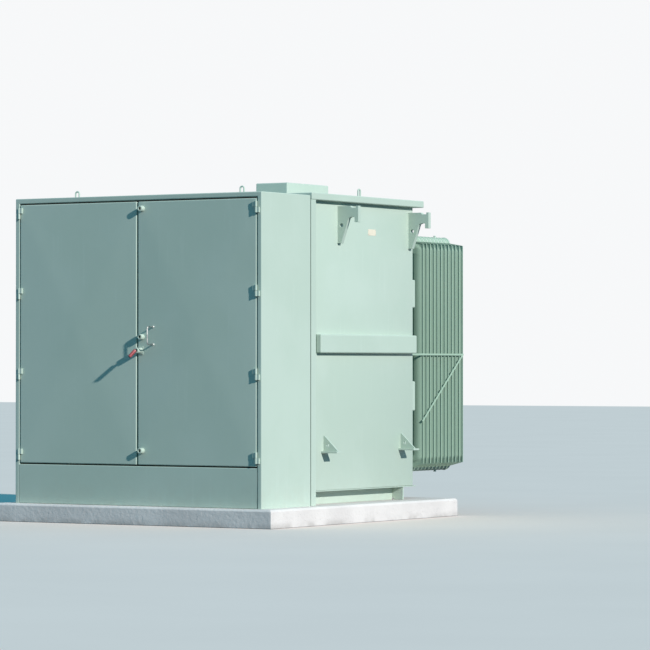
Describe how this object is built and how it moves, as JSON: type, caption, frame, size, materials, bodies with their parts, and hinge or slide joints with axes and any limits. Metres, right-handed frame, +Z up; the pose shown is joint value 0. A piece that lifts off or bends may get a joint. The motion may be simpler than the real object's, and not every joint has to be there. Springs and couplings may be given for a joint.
{
  "type": "pad-mounted power transformer",
  "caption": "Pad-mounted power transformer: two-door terminal cabinet, sealed tank and fluted radiator banks on a concrete plinth.",
  "frame": {"origin": "middle of the plinth's underside", "axes": "+Z up; -Y towards the two cabinet doors, +Y towards the radiators; +X to the right of someone who faces the doors"},
  "size_m": [2.1646, 2.8245, 2.2633],
  "materials": {
    "grey_green_paint": "satin",
    "radiator_paint": "satin",
    "bare_steel": "brushed",
    "gasket_rubber": "matte",
    "bushing_resin": "gloss",
    "red_lock": "satin",
    "concrete": "matte"
  },
  "bodies": {
    "enclosure": {"base_cross_plate": "grey_green_paint", "base_skid_left": "grey_green_paint", "base_skid_right": "grey_green_paint", "cabinet_roof": "grey_green_paint", "cabinet_side_left": "grey_green_paint", "cabinet_side_right": "grey_green_paint", "cabinet_sill": "grey_green_paint", "cover_box": "grey_green_paint", "cover_loop_left": "grey_green_paint", "cover_loop_right": "grey_green_paint", "high_voltage_bushings": "bushing_resin", "jacking_bracket_left_front": "grey_green_paint", "jacking_bracket_left_rear": "grey_green_paint", "jacking_bracket_right_front": "grey_green_paint", "jacking_bracket_right_rear": "grey_green_paint", "joint_gasket": "gasket_rubber", "lifting_lug_left_front": "grey_green_paint", "lifting_lug_left_rear": "grey_green_paint", "lifting_lug_right_front": "grey_green_paint", "lifting_lug_right_rear": "grey_green_paint", "low_voltage_bushings": "bushing_resin", "plinth": "concrete", "radiator_brace_far_left": "radiator_paint", "radiator_brace_far_right": "radiator_paint", "radiator_brace_inner_left": "radiator_paint", "radiator_brace_inner_right": "radiator_paint", "radiator_far_left": "radiator_paint", "radiator_far_right": "radiator_paint", "radiator_inner_left": "radiator_paint", "radiator_inner_right": "radiator_paint", "rear_stiffener_lower": "grey_green_paint", "rear_stiffener_upper": "grey_green_paint", "roof_loop_left": "grey_green_paint", "roof_loop_right": "grey_green_paint", "side_stiffener_left": "grey_green_paint", "side_stiffener_right": "grey_green_paint", "tank_body": "grey_green_paint", "tank_bottom_plate": "grey_green_paint", "tank_cover": "grey_green_paint", "tank_front_plate": "grey_green_paint"},
    "left_door": {"left_door": "grey_green_paint"},
    "right_door": {"right_door": "grey_green_paint", "bolt_cup_top": "grey_green_paint", "bolt_cup_middle": "grey_green_paint", "bolt_cup_bottom": "grey_green_paint", "lock_boss": "grey_green_paint", "padlock": "red_lock", "door_handle": "bare_steel"}
  },
  "joints": [
    {"name": "left_door_hinge", "type": "hinge", "parent": "enclosure", "child": "left_door", "pos_m": [-0.934, -1.112, 0.437], "axis": [0, 0, -1], "range_deg": [0, 120]},
    {"name": "right_door_hinge", "type": "hinge", "parent": "enclosure", "child": "right_door", "pos_m": [0.934, -1.112, 0.437], "axis": [0, 0, 1], "range_deg": [0, 120]}
  ]
}
